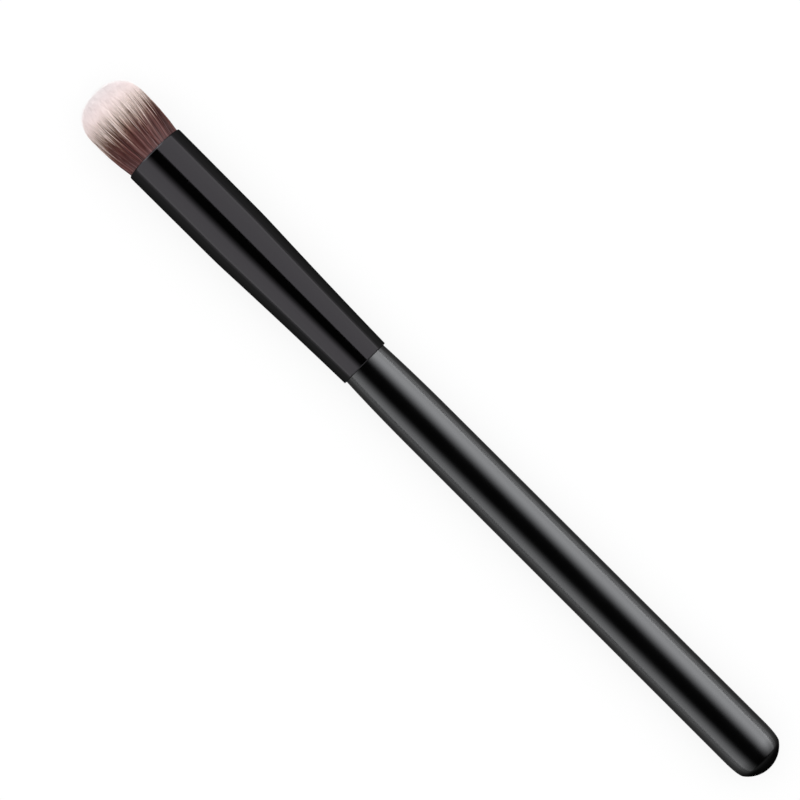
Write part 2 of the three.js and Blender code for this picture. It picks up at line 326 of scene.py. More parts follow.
@dataclass(frozen=True)
class DyedFibre:
    """Drawn polyester fibre, dyed brown from the root to about half way and left pale to the tip.

    The dye climbs to a different height in each lock and in each fibre and takes more deeply in some, so the
    two colours meet in streaks. Stops and shifts are in millimetres above the mouth.
    """

    stops: tuple[Stop, ...] = (
        (0.0, "#5c4242"), (1.5, "#523432"), (4.7, "#553633"), (6.1, "#73584f"), (7.4, "#a6948b"),
        (8.7, "#d8c7c0"), (10.4, "#f5e7e5"), (12.4, "#f1e6e6"), (14.45, "#e8e3e3"),
    )
    tress_shift: float = 0.4
    lock_shift: float = 0.4
    lock_streak: float = 0.6
    fibre_shift: float = 0.3
    fibre_streak: float = 2.3
    streak_rarity: float = 3.0
    streaks_from: float = 8.0
    streaks_to: float = 12.0
    darkest_lock: float = 0.3
    lightest_lock: float = 1.65
    deepest_lock: float = 1.35
    greyest_lock: float = 0.8
    darkest_fibre: float = 0.55
    lightest_fibre: float = 1.45
    even_from: float = 6.0
    even_to: float = 9.5
    gloss: float = 0.2
    roughness: float = 0.5

    def material(self) -> Material:
        """Builds the fibre's nodes, which read what the tuft's node tree stored on each fibre.

        Returns:
            The material.
        """
        material, tree, shader = new_material("two_tone_polyester_fibre")
        add = partial(add_node, tree)
        rise, tress, lock, depth, fibre = (
            add("ShaderNodeAttribute", attribute_name=name).outputs["Fac"]
            for name in ("rise", "tress_tone", "lock_tone", "lock_depth", "fibre_tone")
        )
        climb = 0.0
        for tone, shift, streak in (
            (tress, self.tress_shift, 0.0),
            (lock, self.lock_shift, self.lock_streak),
            (fibre, self.fibre_shift, self.fibre_streak),
        ):
            swing = add(MAP_RANGE, {"Value": tone, "To Min": -1.0, "To Max": 1.0})
            climb = add(MATH, {0: swing, 1: shift, 2: climb}, operation="MULTIPLY_ADD")
            rare = add(MATH, {0: swing, 1: self.streak_rarity}, operation="POWER")
            climb = add(MATH, {0: rare, 1: streak, 2: climb}, operation="MULTIPLY_ADD")
        streaked = add(MAP_RANGE, {
            "Value": rise,
            "From Min": self.streaks_from,
            "From Max": self.streaks_to,
            "To Min": 1.0,
            "To Max": 0.0,
        })
        dyed = add(MATH, {0: climb, 1: streaked, 2: rise}, operation="MULTIPLY_ADD")
        top = self.stops[-1][0]
        share = add(MATH, {0: dyed, 1: top}, operation="DIVIDE")
        ramp = add("ShaderNodeValToRGB", {"Fac": share})
        shape_ramp(ramp, tuple((height / top, colour) for height, colour in self.stops))
        lock_value, fibre_value, strength = (
            add(MAP_RANGE, {"Value": chance, "To Min": least, "To Max": most})
            for chance, least, most in (
                (depth, self.darkest_lock, self.lightest_lock),
                (fibre, self.darkest_fibre, self.lightest_fibre),
                (depth, self.deepest_lock, self.greyest_lock),
            )
        )
        uneven = add(MATH, {0: lock_value, 1: fibre_value}, operation="MULTIPLY")
        evenness = add(MAP_RANGE, {"Value": dyed, "From Min": self.even_from, "From Max": self.even_to})
        tone, strength = (
            add("ShaderNodeMix", {"Factor": evenness, "A": value, "B": 1.0}, data_type="FLOAT")
            for value in (uneven, strength)
        )
        toned = add("ShaderNodeHueSaturation", {"Color": ramp, "Saturation": strength, "Value": tone})
        set_inputs(shader, {
            "Base Color": toned,
            "Specular IOR Level": self.gloss,
            "Roughness": self.roughness,
        })
        return material


@dataclass(frozen=True)
class HiddenFinish:
    """Finish of a piece inside the ferrule: cotton thread, cured epoxy or wood glue.

    It is mottled as it set or was spun.
    """

    name: str
    light: str
    dark: str
    mottle_size: float
    roughness: float
    mottle_detail: float = 3.0
    dark_until: float = 0.3
    light_from: float = 0.7

    def material(self) -> Material:
        """Builds the nodes of the finish.

        Returns:
            The material.
        """
        material, tree, shader = new_material(self.name)
        add = partial(add_node, tree)
        mottle = add(NOISE, {
            "Vector": add("ShaderNodeTexCoord").outputs["Object"],
            "Scale": 1 / (self.mottle_size * MM),
            "Detail": self.mottle_detail,
        })
        ramp = add("ShaderNodeValToRGB", {"Fac": mottle})
        shape_ramp(ramp, ((self.dark_until, self.dark), (self.light_from, self.light)))
        set_inputs(shader, {"Base Color": ramp, "Roughness": self.roughness})
        return material


class BrushAxis:
    """The line that the brush is turned about, from the butt to the tip."""

    def __init__(self, record: dict) -> None:
        """Reads the axis from the butt mount.

        Args:
            record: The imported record.
        """
        mount = next(m for m in record["mounts"] if m["name"] == "butt_end")
        self.butt = Vector(mount["pos_m"])
        self.forward = -Vector(mount["axis"]).normalized()

    def point(self, station: float) -> Vector:
        """Gives the point of the axis at a station in millimetres."""
        return self.butt + self.forward * (station * MM)

    def placement(self) -> Matrix:
        """Works out how a piece made upright along +Z is laid on the axis.

        Returns:
            The matrix that lays it there.
        """
        across = Vector((0.0, 1.0, 0.0))
        side = across.cross(self.forward)
        turn = Matrix((side, across, self.forward)).transposed()
        return Matrix.Translation(self.butt) @ turn.to_4x4()


def bend(start: Point, corner: Point, end: Point, steps: int) -> list[Point]:
    """Gives points of a curve that leaves start towards corner and arrives at end from it.

    Args:
        start: First point.
        corner: Where the two end lines meet.
        end: Last point.
        steps: Stretches that the curve is cut into.

    Returns:
        The points, both ends included.
    """
    points = []
    for step in range(steps + 1):
        share = step / steps
        weights = ((1 - share) ** 2, 2 * share * (1 - share), share ** 2)
        points.append(tuple(sum(w * p[i] for w, p in zip(weights, (start, corner, end))) for i in range(2)))
    return points


def turn_piece(name: str, outline: list[Point], closed: bool, axis: BrushAxis) -> Object:
    """Turns an outline about the brush's axis into a smooth piece.

    Args:
        name: Name of the piece.
        outline: Stations and radii in millimetres.
        closed: Whether the outline closes on itself, as a tube's does, or starts and ends on the axis.
        axis: The axis of the brush.

    Returns:
        The piece, linked to the scene.
    """
    shape = bmesh.new()
    rings = []
    for station, radius in outline:
        spokes = 1 if radius == 0 else FACETS
        turns = [2 * math.pi * spoke / FACETS for spoke in range(spokes)]
        rings.append([
            shape.verts.new((radius * MM * math.cos(turn), radius * MM * math.sin(turn), station * MM))
            for turn in turns
        ])
    pairs = list(zip(rings, rings[1:]))
    if closed:
        pairs.append((rings[-1], rings[0]))
    for low, high in pairs:
        for spoke in range(FACETS):
            after = (spoke + 1) % FACETS
            low_corners = [low[spoke % len(low)], low[after % len(low)]]
            high_corners = [high[after % len(high)], high[spoke % len(high)]]
            shape.faces.new(list(dict.fromkeys(low_corners + high_corners)))
    bmesh.ops.recalc_face_normals(shape, faces=shape.faces)
    for edge in shape.edges:
        edge.smooth = edge.calc_face_angle(0.0) < SHARP_EDGE
    for face in shape.faces:
        face.smooth = True
    mesh = bpy.data.meshes.new(name)
    shape.to_mesh(mesh)
    shape.free()
    mesh.transform(axis.placement())
    return add_object(name, mesh)


@dataclass(frozen=True)
class Ferrule:
    """Drawn tube with a hollow taper behind a nearly straight barrel and a rounded lip."""

    rear_station: float = 95.75
    taper_length: float = 29.3
    barrel_length: float = 20.4
    rear_radius: float = 4.75
    barrel_rear_radius: float = 5.68
    barrel_mouth_radius: float = 5.755
    taper_hollow: float = 0.35
    wall: float = 0.3
    lip_length: float = 0.4
    lip_draw: float = 0.15
    rear_break: float = 0.2
    shoulder_blend: float = 2.4
    curve_steps: int = 16
    finish: BlackAnodisedAluminium = BlackAnodisedAluminium()

    @property
    def barrel_station(self) -> float:
        """Station where the taper meets the barrel."""
        return self.rear_station + self.taper_length

    @property
    def mouth_station(self) -> float:
        """Station of the mouth."""
        return self.barrel_station + self.barrel_length

    def radius(self, station: float) -> float:
        """Gives the outer radius before the lip is rounded.

        Args:
            station: Distance from the butt.

        Returns:
            The radius in millimetres.
        """
        if station > self.barrel_station:
            share = (station - self.barrel_station) / self.barrel_length
            return self.barrel_rear_radius + share * (self.barrel_mouth_radius - self.barrel_rear_radius)
        share = (station - self.rear_station) / self.taper_length
        rise = (1 - self.taper_hollow) * share + self.taper_hollow * share * share
        return self.rear_radius + rise * (self.barrel_rear_radius - self.rear_radius)

    def bore(self, station: float) -> float:
        """Gives the radius of the bore at a station."""
        return self.radius(station) - self.wall

    def outline(self) -> list[Point]:
        """Lists the outline from the rear edge over the outside and back through the bore.

        Returns:
            Stations and radii.
        """
        steps = self.curve_steps
        blend_start = self.barrel_station - self.shoulder_blend
        blend_end = self.barrel_station + self.shoulder_blend
        lip_station = self.mouth_station - self.lip_length
        lip_radius = self.radius(lip_station)
        taper_start = self.rear_station + self.rear_break
        run = (blend_start - taper_start) / steps
        taper = [taper_start + run * step for step in range(steps)]
        bore_run = self.taper_length / steps
        bore = [self.barrel_station - bore_run * step for step in range(steps + 1)]
        return [
            *bend(
                (self.rear_station, self.rear_radius - self.rear_break),
                (self.rear_station, self.rear_radius),
                (taper_start, self.radius(taper_start)),
                steps,
            ),
            *((station, self.radius(station)) for station in taper[1:]),
            *bend(
                (blend_start, self.radius(blend_start)),
                (self.barrel_station, self.barrel_rear_radius),
                (blend_end, self.radius(blend_end)),
                steps,
            ),
            *bend(
                (lip_station, lip_radius),
                (self.mouth_station, lip_radius),
                (self.mouth_station, lip_radius - self.lip_draw),
                steps,
            ),
            (self.mouth_station, self.bore(self.mouth_station)),
            *((station, self.bore(station)) for station in bore),
        ]

    def build(self, axis: BrushAxis) -> Object:
        """Turns the tube and hides its solid.

        Args:
            axis: The axis of the brush.

        Returns:
            The finished piece.
        """
        piece = turn_piece("drawn_ferrule", self.outline(), True, axis)
        piece.data.materials.append(self.finish.material())
        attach(piece, BODY)
        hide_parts("ferrule")
        return piece


@dataclass(frozen=True)
class Handle:
    """Turned handle with a domed butt, a slow taper, a drawn-in neck and a grooved tenon."""

    ferrule: Ferrule
    butt_radius: float = 4.775
    front_radius: float = 4.685
    neck_length: float = 15.6
    neck_bend: float = 8.9
    flat_radius: float = 1.0
    dome_radius: float = 5.3
    cap_radius: float = 4.33
    edge_length: float = 3.8
    edge_bend: float = 1.0
    neck_clearance: float = 0.1
    shoulder_depth: float = 2.0
    tenon_inset: float = 0.7
    tenon_tip_depth: float = 28.15
    tenon_chamfer: float = 0.8
    groove_count: int = 3
    groove_depth: float = 0.35
    groove_width: float = 1.6
    curve_steps: int = 18
    finish: SatinLacquer = SatinLacquer()

    def butt(self) -> list[Point]:
        """Lists the outline of the butt: a shallow cap of a sphere and a rounded edge.

        Returns:
            Stations and radii.
        """
        flat_angle = math.asin(self.flat_radius / self.dome_radius)
        cap_angle = math.asin(self.cap_radius / self.dome_radius)
        flat_height = self.dome_radius * math.cos(flat_angle)
        cap_station = flat_height - self.dome_radius * math.cos(cap_angle)
        cap = []
        for step in range(self.curve_steps):
            angle = flat_angle + (cap_angle - flat_angle) * step / self.curve_steps
            cap.append((flat_height - self.dome_radius * math.cos(angle), self.dome_radius * math.sin(angle)))
        edge = bend(
            (cap_station, self.cap_radius),
            (cap_station + self.edge_bend, self.butt_radius),
            (cap_station + self.edge_length, self.butt_radius),
            self.curve_steps,
        )
        return [(0.0, 0.0), *cap, *edge]

    def tenon(self) -> list[Point]:
        """Lists the outline of the tenon, with its glue grooves, from the shoulder to its tip.

        Returns:
            Stations and radii.
        """
        shoulder = self.ferrule.rear_station + self.shoulder_depth
        tip = self.ferrule.mouth_station - self.tenon_tip_depth
        radius = self.ferrule.bore(shoulder) - self.tenon_inset
        pitch = (tip - shoulder) / (self.groove_count + 1)
        points = [(shoulder, radius)]
        for groove in range(self.groove_count):
            middle = shoulder + pitch * (groove + 1)
            half, quarter = self.groove_width / 2, self.groove_width / 4
            points += [
                (middle - half, radius),
                (middle - quarter, radius - self.groove_depth),
                (middle + quarter, radius - self.groove_depth),
                (middle + half, radius),
            ]
        points += [(tip - self.tenon_chamfer, radius), (tip, radius - self.tenon_chamfer), (tip, 0.0)]
        return points

    def outline(self) -> list[Point]:
        """Lists the whole outline from the butt to the tip of the tenon.

        Returns:
            Stations and radii.
        """
        neck_end = self.ferrule.rear_station
        neck_start = neck_end - self.neck_length
        neck_radius = self.ferrule.bore(neck_end) - self.neck_clearance
        neck = bend(
            (neck_start, self.front_radius),
            (neck_start + self.neck_bend, self.front_radius),
            (neck_end, neck_radius),
            self.curve_steps,
        )
        return [*self.butt(), *neck, (neck_end + self.shoulder_depth, neck_radius), *self.tenon()]

    def build(self, axis: BrushAxis) -> Object:
        """Turns the handle and hides its solid.

        Args:
            axis: The axis of the brush.

        Returns:
            The finished piece.
        """
        piece = turn_piece("lacquered_handle", self.outline(), False, axis)
        piece.data.materials.append(self.finish.material(axis.butt))
        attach(piece, BODY)
        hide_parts("handle")
        return piece


SOCKET_KINDS = {int: "NodeSocketInt", float: "NodeSocketFloat", Material: "NodeSocketMaterial"}


def sunflower(tree: NodeTree, number: Node, count: NodeSocket) -> Node:
    """Adds nodes that spread numbered points evenly over a round of radius 1, as seeds in a sunflower.

    Args:
        tree: Tree that gets the nodes.
        number: Node with the number of the point.
        count: Socket with how many points fill the round.

    Returns:
        The node with the place.
    """
    add = partial(add_node, tree)
    middle = add(MATH, {0: number, 1: HALF_STEP}, operation="ADD")
    filled = add(MATH, {0: middle, 1: count}, operation="DIVIDE")
    share = add(MATH, {0: filled}, operation="SQRT")
    turn = add(MATH, {0: number, 1: GOLDEN_ANGLE}, operation="MULTIPLY")
    spoke = add("ShaderNodeCombineXYZ", {"X": share})
    return add("ShaderNodeVectorRotate", {"Vector": spoke, "Angle": turn}, rotation_type="Z_AXIS")


@dataclass(frozen=True)
class BristleTuft:
    """Domed tuft of fine fibres that gather in locks, set in the mouth of the ferrule.

    The fibres lie turned a little about the axis and part to both sides over the top, as in a brush that was
    stroked. They are thicker and fewer than real ones, so that they show.
    """

    ferrule: Ferrule
    length: float = 14.45
    dome_height: float = 5.65
    dome_fullness: float = 2.4
    belly_radius: float = 6.03
    mouth_clearance: float = 0.1
    root_depth: float = 4.0
    spread: Curve = (
        (0.0, 0.0), (0.13, 0.26), (0.22, 0.42), (0.3, 0.55), (0.48, 0.76), (0.7, 0.9), (1.0, 1.0),
    )
    fibre_count: int = 15000
    lock_count: int = 6000
    fibre_radius: float = 0.04
    fibre_points: int = 7
    fibre_sides: int = 3
    taper: Curve = ((0.0, 1.0), (0.6, 1.0), (0.85, 0.75), (1.0, 0.2))
    shortest_by: float = 0.9
    tress_size: float = 0.9
    tress_detail: float = 1.0
    lock_pull: float = 0.6
    fibre_lean: float = 0.03
    lock_twist: float = 0.1
    fibre_twist: float = 0.04
    lay: float = 0.075
    parting: float = 0.3
    seed: int = 11
    finish: DyedFibre = DyedFibre()

    def rooted_points(self, tree: NodeTree, given: SimpleNamespace) -> Node:
        """Adds nodes that make a point for each fibre, with its lock and its chances stored on it.

        Args:
            tree: Tree that gets the nodes.
            given: The tree's input sockets by name.

        Returns:
            The node with the points.
        """
        add = partial(add_node, tree)
        index = add("GeometryNodeInputIndex")
        number = add(MATH, {0: index, 1: given.first_fibre}, operation="ADD")
        stand = sunflower(tree, number, given.all_fibres)
        points = add("GeometryNodePoints", {"Count": given.fibres, "Position": stand})
        lock_place = sunflower(tree, index, given.locks)
        locks = add("GeometryNodePoints", {"Count": given.locks, "Position": lock_place})
        position = add("GeometryNodeInputPosition")
        nearest = add("GeometryNodeSampleNearest", {"Geometry": locks, "Sample Position": position})
        lock = add(
            "GeometryNodeSampleIndex",
            {"Geometry": locks, "Value": position, "Index": nearest},
            data_type="FLOAT_VECTOR",
        )
        tress = add(
            NOISE,
            {"Vector": position, "Scale": given.tress_scale, "Detail": self.tress_detail},
            noise_dimensions="2D",
        )
        chance = add(
            "FunctionNodeRandomValue",
            {"Min": (-1.0, -1.0, 0.0), "Max": (1.0, 1.0, 0.0), "ID": number, "Seed": given.seed},
            data_type="FLOAT_VECTOR",
        )
        lean = add(VECTOR_MATH, {0: chance, "Scale": given.fibre_lean}, operation="SCALE")
        chances = {}
        for offset, (name, identity, least) in enumerate((
            ("lock_tone", nearest, 0.0),
            ("lock_depth", nearest, 0.0),
            ("fibre_tone", number, 0.0),
            ("reach", number, 0.0),
            ("lock_twist", nearest, -1.0),
            ("fibre_twist", number, -1.0),
        ), start=1):
            seed = add(MATH, {0: given.seed, 1: offset}, operation="ADD")
            chances[name] = add("FunctionNodeRandomValue", {"Min": least, "ID": identity, "Seed": seed})
        twist = 0.0
        for name, most in (("lock_twist", given.lock_twist), ("fibre_twist", given.fibre_twist)):
            twist = add(MATH, {0: chances.pop(name), 1: most, 2: twist}, operation="MULTIPLY_ADD")
        vectors = {"stand": position, "lock": lock, "lean": lean}
        numbers = {"twist": twist, "tress_tone": tress, **chances}
        for data_type, stored in (("FLOAT_VECTOR", vectors), ("FLOAT", numbers)):
            for name, value in stored.items():
                points = add(STORE, {"Geometry": points, "Name": name, "Value": value}, data_type=data_type)
        return points

    def fibre_path(self, tree: NodeTree, given: SimpleNamespace) -> tuple[Node, Node]:
        """Adds nodes that work out where a point of a fibre lies.

        Args:
            tree: Tree that gets the nodes.
            given: The tree's input sockets by name.

        Returns:
            The nodes with the place and with the rise above the mouth in metres.
        """
        add = partial(add_node, tree)
        kinds = {"FLOAT_VECTOR": ("stand", "lock", "lean"), "FLOAT": ("twist", "reach")}
        read = {
            name: add("GeometryNodeInputNamedAttribute", {"Name": name}, data_type=data_type)
            for data_type, names in kinds.items()
            for name in names
        }
        along = add("GeometryNodeSplineParameter").outputs["Factor"]
        share = add(VECTOR_MATH, {0: read["stand"]}, operation="LENGTH").outputs["Value"]
        power = add(MATH, {0: share, 1: given.dome_fullness}, operation="POWER")
        left = add(MATH, {0: 1.0, 1: power}, operation="SUBTRACT", use_clamp=True)
        root = add(MATH, {0: 1.0, 1: given.dome_fullness}, operation="DIVIDE")
        dome = add(MATH, {0: left, 1: root}, operation="POWER")
        full_tip = add(
            MATH, {0: dome, 1: given.dome_height, 2: given.belly_station}, operation="MULTIPLY_ADD"
        )
        short = add(MATH, {0: read["reach"]}, operation="SQRT")
        loss = add(MATH, {0: short, 1: given.shortest_by}, operation="MULTIPLY")
        tip = add(MATH, {0: full_tip, 1: loss}, operation="SUBTRACT")
        station = add(MAP_RANGE, {"Value": along, "To Min": given.root_station, "To Max": tip})
        rise = add(MATH, {0: station, 1: given.mouth_station}, operation="SUBTRACT")
        belly_share = add(
            MAP_RANGE, {"Value": station, "From Min": given.mouth_station, "From Max": given.belly_station}
        )
        opening = add(FLOAT_CURVE, {"Value": belly_share})
        shape_curve(opening, self.spread)
        radius = add(
            MAP_RANGE, {"Value": opening, "To Min": given.mouth_radius, "To Max": given.belly_radius}
        )
        pull = add(MATH, {0: belly_share, 1: given.lock_pull}, operation="MULTIPLY")
        gathered = add(
            "ShaderNodeMix", {"Factor": pull, "A": read["stand"], "B": read["lock"]}, data_type="VECTOR"
        )
        aside = add("ShaderNodeSeparateXYZ", {"Vector": read["stand"]}).outputs["Y"]
        parted = add(MATH, {0: aside, 1: given.parting}, operation="MULTIPLY")
        laid = add(MATH, {0: read["twist"], 1: given.lay}, operation="ADD")
        turn = add(MATH, {0: laid, 1: parted}, operation="SUBTRACT")
        angle = add(MATH, {0: belly_share, 1: turn}, operation="MULTIPLY")
        twisted = add("ShaderNodeVectorRotate", {"Vector": gathered, "Angle": angle}, rotation_type="Z_AXIS")
        spread = add(VECTOR_MATH, {0: twisted, "Scale": radius}, operation="SCALE")
        lean = add(VECTOR_MATH, {0: read["lean"], "Scale": belly_share}, operation="SCALE")
        height = add("ShaderNodeCombineXYZ", {"Z": station})
        leaning = add(VECTOR_MATH, {0: spread, 1: lean}, operation="ADD")
        place = add(VECTOR_MATH, {0: leaning, 1: height}, operation="ADD")
        return place, rise

    def fibre_tree(self, values: dict) -> NodeTree:
        """Builds the node tree that makes the fibres of one piece of the tuft.

        Args:
            values: Inputs of a piece by name, for the names and kinds of the tree's sockets.

        Returns:
            The tree.
        """
        tree = bpy.data.node_groups.new("bristle_fibres", "GeometryNodeTree")
        tree.is_modifier = True
        for name, value in values.items():
            tree.interface.new_socket(name, in_out="INPUT", socket_type=SOCKET_KINDS[type(value)])
        tree.interface.new_socket("Geometry", in_out="OUTPUT", socket_type="NodeSocketGeometry")
        add = partial(add_node, tree)
        sockets = add("NodeGroupInput").outputs
        given = SimpleNamespace(**{name.lower().replace(" ", "_"): sockets[name] for name in values})
        points = self.rooted_points(tree, given)
        line = add("GeometryNodeCurvePrimitiveLine", {"End": (0.0, 0.0, 1.0)})
        cut = add("GeometryNodeResampleCurve", {"Curve": line, "Count": self.fibre_points})
        placed = add("GeometryNodeInstanceOnPoints", {"Points": points, "Instance": cut})
        curves = add("GeometryNodeRealizeInstances", {"Geometry": placed})
        place, rise = self.fibre_path(tree, given)
        rise_mm = add(MATH, {0: rise, 1: 1 / MM}, operation="MULTIPLY")
        marked = add(STORE, {"Geometry": curves, "Name": "rise", "Value": rise_mm})
        grown = add("GeometryNodeSetPosition", {"Geometry": marked, "Position": place})
        profile = add(
            "GeometryNodeCurvePrimitiveCircle",
            {"Resolution": self.fibre_sides, "Radius": given.fibre_radius},
        )
        along = add("GeometryNodeSplineParameter").outputs["Factor"]
        taper = add(FLOAT_CURVE, {"Value": along})
        shape_curve(taper, self.taper)
        mesh = add(
            "GeometryNodeCurveToMesh",
            {"Curve": grown, "Profile Curve": profile, "Scale": taper, "Fill Caps": True},
        )
        smooth = add("GeometryNodeSetShadeSmooth", {"Geometry": mesh})
        real = add("GeometryNodeRealizeInstances", {"Geometry": smooth})
        dressed = add("GeometryNodeSetMaterial", {"Geometry": real, "Material": given.finish})
        add("NodeGroupOutput", {"Geometry": dressed})
        return tree

    def inputs(self, material: Material, first: int, count: int) -> dict[str, int | float | Material]:
        """Lists the named inputs of the fibres' node tree for one piece of the tuft.

        Args:
            material: Finish of the fibres.
            first: Number of the piece's first fibre, counted from the middle of the tuft.
            count: How many fibres the piece has.

        Returns:
            The inputs, with lengths in metres.
        """
        mouth = self.ferrule.mouth_station
        return {
            "Fibres": count,
            "First fibre": first,
            "All fibres": self.fibre_count,
            "Locks": self.lock_count,
            "Seed": self.seed,
            "Root station": (mouth - self.root_depth) * MM,
            "Mouth station": mouth * MM,
            "Belly station": (mouth + self.length - self.dome_height) * MM,
            "Dome height": self.dome_height * MM,
            "Dome fullness": self.dome_fullness,
            "Mouth radius": (self.ferrule.bore(mouth) - self.mouth_clearance) * MM,
            "Belly radius": self.belly_radius * MM,
            "Fibre radius": self.fibre_radius * MM,
            "Shortest by": self.shortest_by * MM,
            "Tress scale": self.belly_radius / self.tress_size,
            "Lock pull": self.lock_pull,
            "Fibre lean": self.fibre_lean * MM,
            "Lock twist": self.lock_twist,
            "Fibre twist": self.fibre_twist,
            "Lay": self.lay,
            "Parting": self.parting,
            "Finish": material,
        }

    def grow(self, name: str, tree: NodeTree, inputs: dict, axis: BrushAxis) -> Object:
        """Grows one piece of the tuft as a plain mesh.

        Args:
            name: Name of the piece.
            tree: The fibres' node tree.
            inputs: The tree's inputs for the piece, by name.
            axis: The axis of the brush.

        Returns:
            The piece, linked to the scene.
        """
        piece = add_object(name, bpy.data.meshes.new(name))
        modifier = piece.modifiers.new("fibres", "NODES")
        modifier.node_group = tree
        for socket in tree.interface.items_tree:
            if socket.in_out == "INPUT":
                modifier[socket.identifier] = inputs[socket.name]
        shown = piece.evaluated_get(bpy.context.evaluated_depsgraph_get())
        mesh = bpy.data.meshes.new_from_object(shown)
        piece.modifiers.remove(modifier)
        piece.data = mesh
        mesh.name = name
        mesh.transform(axis.placement())
        return piece

    def build(self, axis: BrushAxis) -> list[Object]:
        """Grows the tuft from its heart to its rim and hides its solid.

        Args:
            axis: The axis of the brush.

        Returns:
            The finished pieces.
        """
        material = self.finish.material()
        names = ("tuft_heart", "tuft_body", "tuft_rim")
        share = math.ceil(self.fibre_count / len(names))
        tree = self.fibre_tree(self.inputs(material, 0, share))
        pieces = []
        for order, name in enumerate(names):
            first = order * share
            count = min(share, self.fibre_count - first)
            piece = self.grow(name, tree, self.inputs(material, first, count), axis)
            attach(piece, BODY)
            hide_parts("bristle_tuft")
            pieces.append(piece)
        return pieces


class HiddenJoint(Enum):
    """Pieces that the ferrule hides, each with its finish."""

    THREAD = (
        "tuft_binding",
        HiddenFinish("spun_cotton_thread", light="#e0dacd", dark="#c9c1b0", mottle_size=0.3, roughness=0.85),
    )
    EPOXY = (
        "root_potting",
        HiddenFinish("cured_amber_epoxy", light="#cfb57e", dark="#b8995c", mottle_size=3.0, roughness=0.25),
    )
    GLUE = (
        "tenon_adhesive",
        HiddenFinish("dried_wood_glue", light="#e9e4d4", dark="#d8cfb6", mottle_size=2.0, roughness=0.5),
    )

    def dress(self) -> Object:
        """Gives the piece's solid its finish.

        Returns:
            The dressed solid.
        """
        node, finish = self.value
        piece = frame["nodes"][node]
        piece.material_slots[0].material = finish.material()
        return piece


class Lit(Enum):
    """What a lamp lights.

    Black gloss and pale fibres need lamps of their own, as separate exposures would give.
    """

    HANDLE = "handle"
    FERRULE = "ferrule"
    TUFT_AND_FLOOR = "tuft_and_floor"


class Bearing(Enum):
    """Level direction from the brush to a lamp, as it lies in the photograph or along the brush."""

    UPPER_RIGHT = (0.0, -1.0)
    LOWER_LEFT = (0.0, 1.0)
    AHEAD = (1.0, 0.0)
    BEHIND = (-1.0, 0.0)


EVEN = ((0.0, 1.0), (1.0, 1.0))
FADING_UP = ((0.0, 1.0), (0.5, 0.85), (1.0, 0.0))


@dataclass(frozen=True)
class Softbox:
    """A flat lamp that stands off the brush's axis and faces it.

    Angles are in degrees from straight up. The glow is the share of the radiance at shares of the lamp's
    height, from its lower edge to its upper.
    """

    name: str
    lit: Lit
    bearing: Bearing
    lower: float
    upper: float
    distance: float
    aim_x: float
    width: float
    radiance: float
    glow: Curve = EVEN

    def build(self, target_height: float, lit: Collection) -> None:
        """Hangs the lamp.

        Args:
            target_height: Height of the brush's axis.
            lit: The objects that the lamp lights.
        """
        middle = math.radians((self.lower + self.upper) / 2)
        half = math.radians((self.lower - self.upper) / 2)
        level = Vector((*self.bearing.value, 0.0))
        away = level * math.sin(middle) + Vector((0.0, 0.0, math.cos(middle)))
        along = Vector((-level.y, level.x, 0.0))
        lamp = bpy.data.lights.new(self.name, "AREA")
        lamp.shape = "RECTANGLE"
        lamp.size = self.width
        lamp.size_y = 2 * self.distance * math.tan(half)
        lamp.energy = self.radiance * lamp.size * lamp.size_y * math.pi
        lamp.use_nodes = True
        tree = lamp.node_tree
        place = add_node(tree, "ShaderNodeNewGeometry").outputs["Parametric"]
        height = add_node(tree, "ShaderNodeSeparateXYZ", {"Vector": place}).outputs["Y"]
        glow = add_node(tree, FLOAT_CURVE, {"Value": height})
        shape_curve(glow, self.glow)
        set_inputs(tree.nodes["Emission"], {"Strength": glow})
        holder = add_object(self.name, lamp)
        turn = Matrix((along, away.cross(along), away)).transposed()
        hung = Vector((self.aim_x, 0.0, target_height)) + away * self.distance
        holder.matrix_world = Matrix.Translation(hung) @ turn.to_4x4()
        holder.visible_camera = False
        holder.light_linking.receiver_collection = lit


